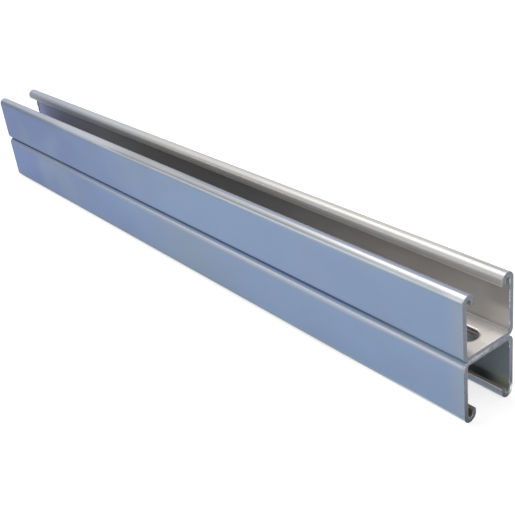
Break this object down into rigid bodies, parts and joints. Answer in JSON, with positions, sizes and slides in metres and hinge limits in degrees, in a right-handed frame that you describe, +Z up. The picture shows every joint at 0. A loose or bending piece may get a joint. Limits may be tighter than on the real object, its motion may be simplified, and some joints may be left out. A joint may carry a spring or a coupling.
{
  "type": "back-to-back slotted strut channel",
  "caption": "Double strut channel: slotted steel C channels with in-turned lips, welded web to web, with one mouth up and the other down.",
  "frame": {"origin": "on the floor, under the middle of the length and of the width", "axes": "+X along the length, towards the end whose first slot is nearer, +Y across the width, +Z up, out of the upper channel's mouth"},
  "size_m": [0.6, 0.0412, 0.0826],
  "materials": {
    "zinc_steel": "smooth mill zinc coating, satin, with bare steel on the cut ends and slot edges"
  },
  "bodies": {
    "root": {"upper_channel": "zinc_steel", "lower_channel": "zinc_steel"}
  },
  "joints": []
}
